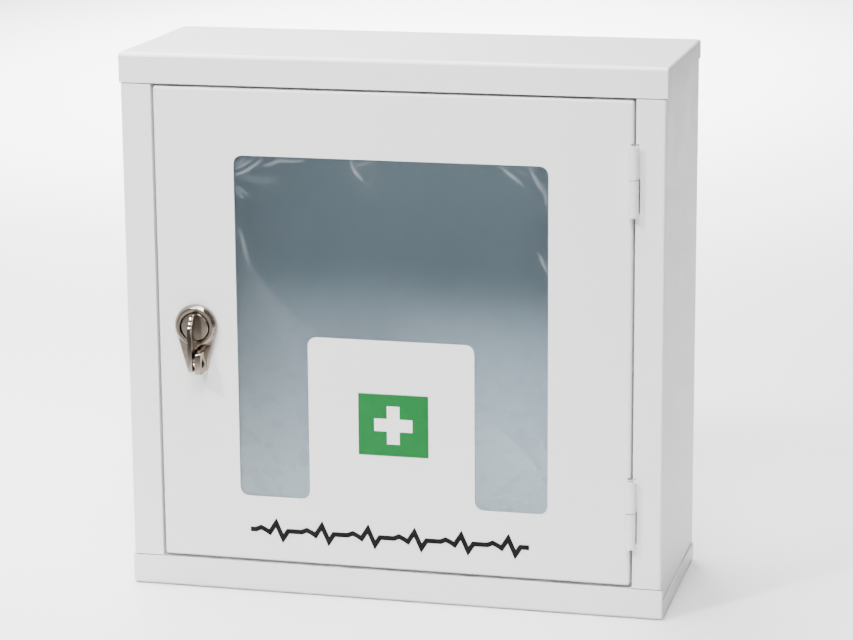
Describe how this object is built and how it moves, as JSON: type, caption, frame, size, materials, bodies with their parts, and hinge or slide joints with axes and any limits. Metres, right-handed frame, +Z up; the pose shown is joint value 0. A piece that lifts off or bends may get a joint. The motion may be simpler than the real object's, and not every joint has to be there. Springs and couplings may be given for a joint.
{
  "type": "defibrillator wall cabinet",
  "caption": "Empty white sheet steel wall cabinet for a defibrillator, with a flush glazed door on knuckle hinges and a padlockable turn latch.",
  "frame": {"origin": "centre of the underside of the cabinet's box, the latch and hinges left out", "axes": "+X to the right of someone facing the door, +Y through the back towards the wall, +Z up"},
  "size_m": [0.38, 0.158, 0.38],
  "materials": {
    "white_powder_coat": "semi-gloss white powder coat, slightly textured",
    "white_hinge_paint": "semi-gloss white paint over steel knuckles",
    "zinc_plated_steel": "bright zinc plate",
    "nickel_plate": "polished nickel plate on die cast metal",
    "clear_acrylic": "clear polished acrylic sheet",
    "protective_film": "thin clear film with creases, left on the pane",
    "grey_rubber": "matt dark rubber",
    "sign_vinyl": "printed green and white vinyl",
    "pulse_vinyl": "black cut vinyl"
  },
  "bodies": {
    "cabinet": {"top_panel": "white_powder_coat", "bottom_panel": "white_powder_coat", "left_side_panel": "white_powder_coat", "right_side_panel": "white_powder_coat", "back_panel": "white_powder_coat", "door_stop_frame": "white_powder_coat", "upper_hinge_frame_leaf": "white_hinge_paint", "lower_hinge_frame_leaf": "white_hinge_paint", "upper_hinge_pin": "zinc_plated_steel", "lower_hinge_pin": "zinc_plated_steel", "door_buffer_1": "grey_rubber", "door_buffer_2": "grey_rubber"},
    "door": {"door_panel": "white_powder_coat", "window_pane": "clear_acrylic", "protective_film": "protective_film", "glazing_strip_top": "zinc_plated_steel", "glazing_strip_bottom": "zinc_plated_steel", "glazing_strip_left": "zinc_plated_steel", "glazing_strip_right": "zinc_plated_steel", "glazing_stud_1": "zinc_plated_steel", "glazing_stud_2": "zinc_plated_steel", "glazing_stud_3": "zinc_plated_steel", "glazing_stud_4": "zinc_plated_steel", "glazing_stud_5": "zinc_plated_steel", "glazing_stud_6": "zinc_plated_steel", "glazing_stud_7": "zinc_plated_steel", "glazing_stud_8": "zinc_plated_steel", "glazing_nut_1": "zinc_plated_steel", "glazing_nut_2": "zinc_plated_steel", "glazing_nut_3": "zinc_plated_steel", "glazing_nut_4": "zinc_plated_steel", "glazing_nut_5": "zinc_plated_steel", "glazing_nut_6": "zinc_plated_steel", "glazing_nut_7": "zinc_plated_steel", "glazing_nut_8": "zinc_plated_steel", "upper_hinge_door_leaf": "white_hinge_paint", "lower_hinge_door_leaf": "white_hinge_paint", "lock_body": "nickel_plate", "lock_washer": "zinc_plated_steel", "lock_nut": "zinc_plated_steel", "sign_label": "sign_vinyl", "pulse_label": "pulse_vinyl"},
    "latch": {"lock_rotor": "nickel_plate", "lock_cam": "zinc_plated_steel", "cam_washer": "zinc_plated_steel", "cam_screw": "zinc_plated_steel"}
  },
  "joints": [
    {"name": "door_swing", "type": "hinge", "parent": "cabinet", "child": "door", "pos_m": [0.1682, -0.0738, 0], "axis": [0, 0, 1], "range_deg": [0, 180]},
    {"name": "latch_turn", "type": "hinge", "parent": "door", "child": "latch", "pos_m": [-0.1379, -0.07, 0.191], "axis": [0, 1, 0], "range_deg": [0, 90]}
  ]
}
